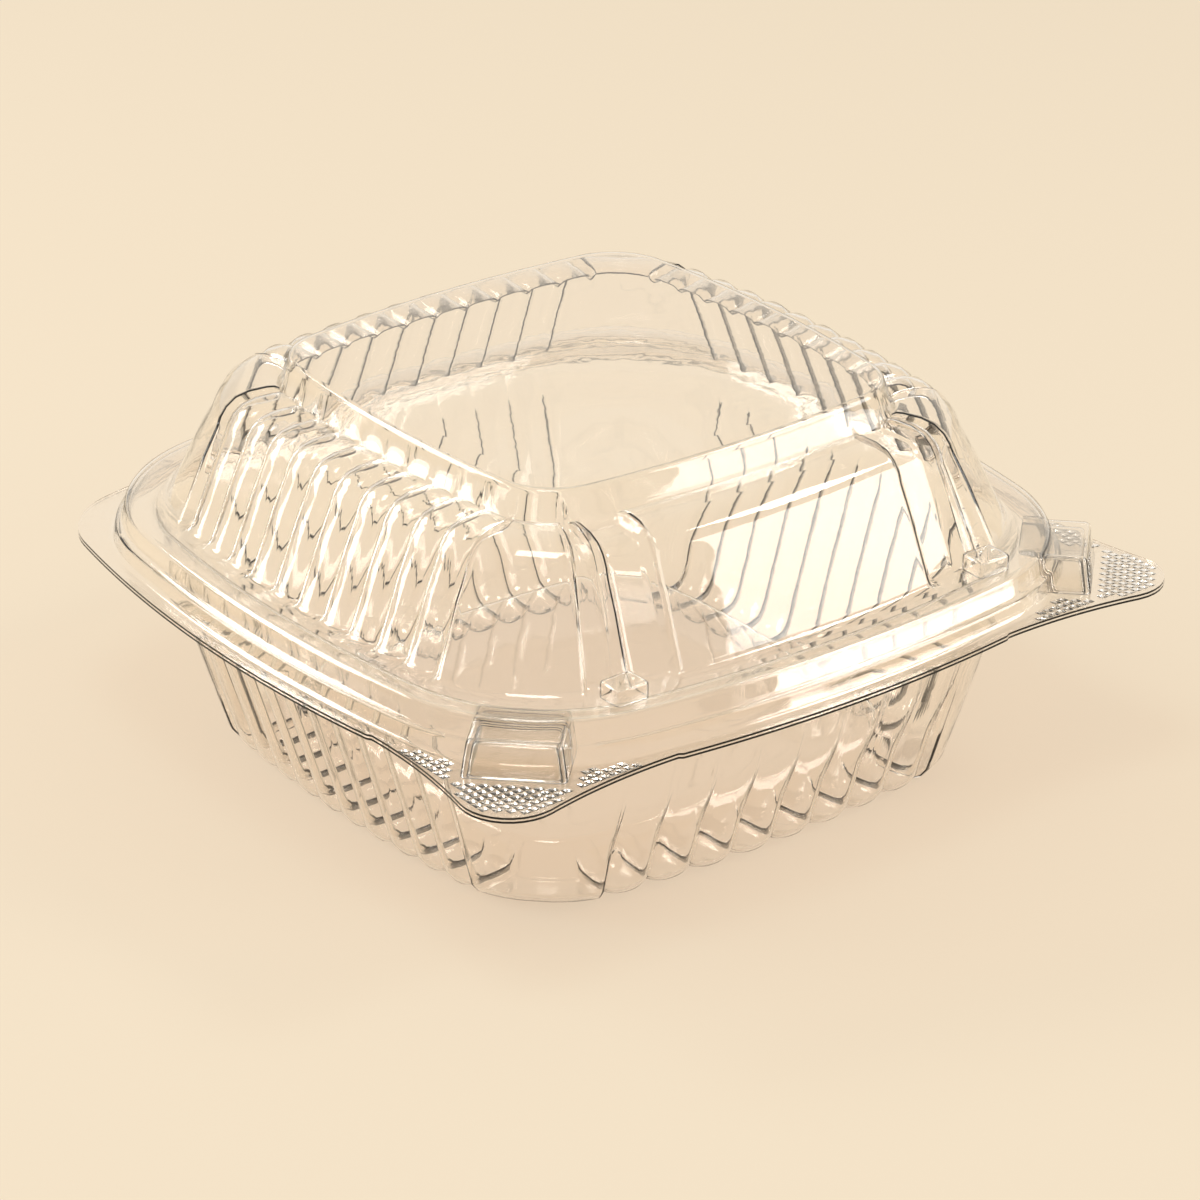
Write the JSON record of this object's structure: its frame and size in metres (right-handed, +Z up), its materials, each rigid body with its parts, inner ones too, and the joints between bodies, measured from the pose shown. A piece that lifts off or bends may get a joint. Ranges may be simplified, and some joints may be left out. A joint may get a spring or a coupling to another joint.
{
  "type": "plastic clamshell pack",
  "caption": "Clear hinged food pack with a domed fluted lid, nesting rim, snap buttons and textured finger tabs at the front corners.",
  "frame": {"origin": "centre of the footprint, on the surface that the tray's feet stand on", "axes": "+Z up, +Y towards the hinge, -Y towards the finger tabs, +X to the right seen from the front"},
  "size_m": [0.152, 0.152, 0.074],
  "materials": {
    "clear_film": "clear gloss"
  },
  "bodies": {
    "base_tray": {"base_tray": "clear_film"},
    "lid": {"lid": "clear_film"}
  },
  "joints": [
    {"name": "lid_hinge", "type": "hinge", "parent": "base_tray", "child": "lid", "pos_m": [0, 0.076, 0.038], "axis": [-1, 0, 0], "range_deg": [0, 180]}
  ]
}
